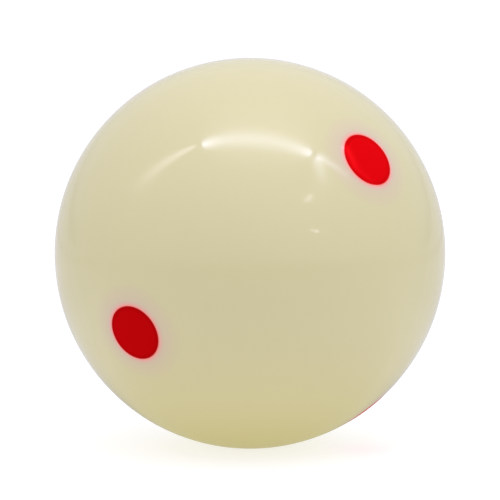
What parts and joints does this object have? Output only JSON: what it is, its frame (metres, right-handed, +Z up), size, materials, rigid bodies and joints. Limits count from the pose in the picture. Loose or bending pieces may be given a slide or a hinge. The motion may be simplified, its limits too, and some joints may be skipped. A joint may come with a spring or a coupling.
{
  "type": "cue ball",
  "caption": "Cream cast-resin cue ball with flush red spots set where three square axes through its centre leave it.",
  "frame": {"origin": "centre of the ball", "axes": "+Z up as the ball lies on a table, -Y towards the viewer, +X to the viewer's right"},
  "size_m": [0.0572, 0.0572, 0.0572],
  "materials": {
    "ball_resin": "polished cast resin, cream",
    "spot_resin": "polished cast resin, red"
  },
  "bodies": {
    "root": {"ball_body": "ball_resin", "spot_front_right": "spot_resin", "spot_front_left": "spot_resin", "spot_top_left": "spot_resin", "spot_back_left": "spot_resin", "spot_back_right": "spot_resin", "spot_bottom_right": "spot_resin"}
  },
  "joints": []
}
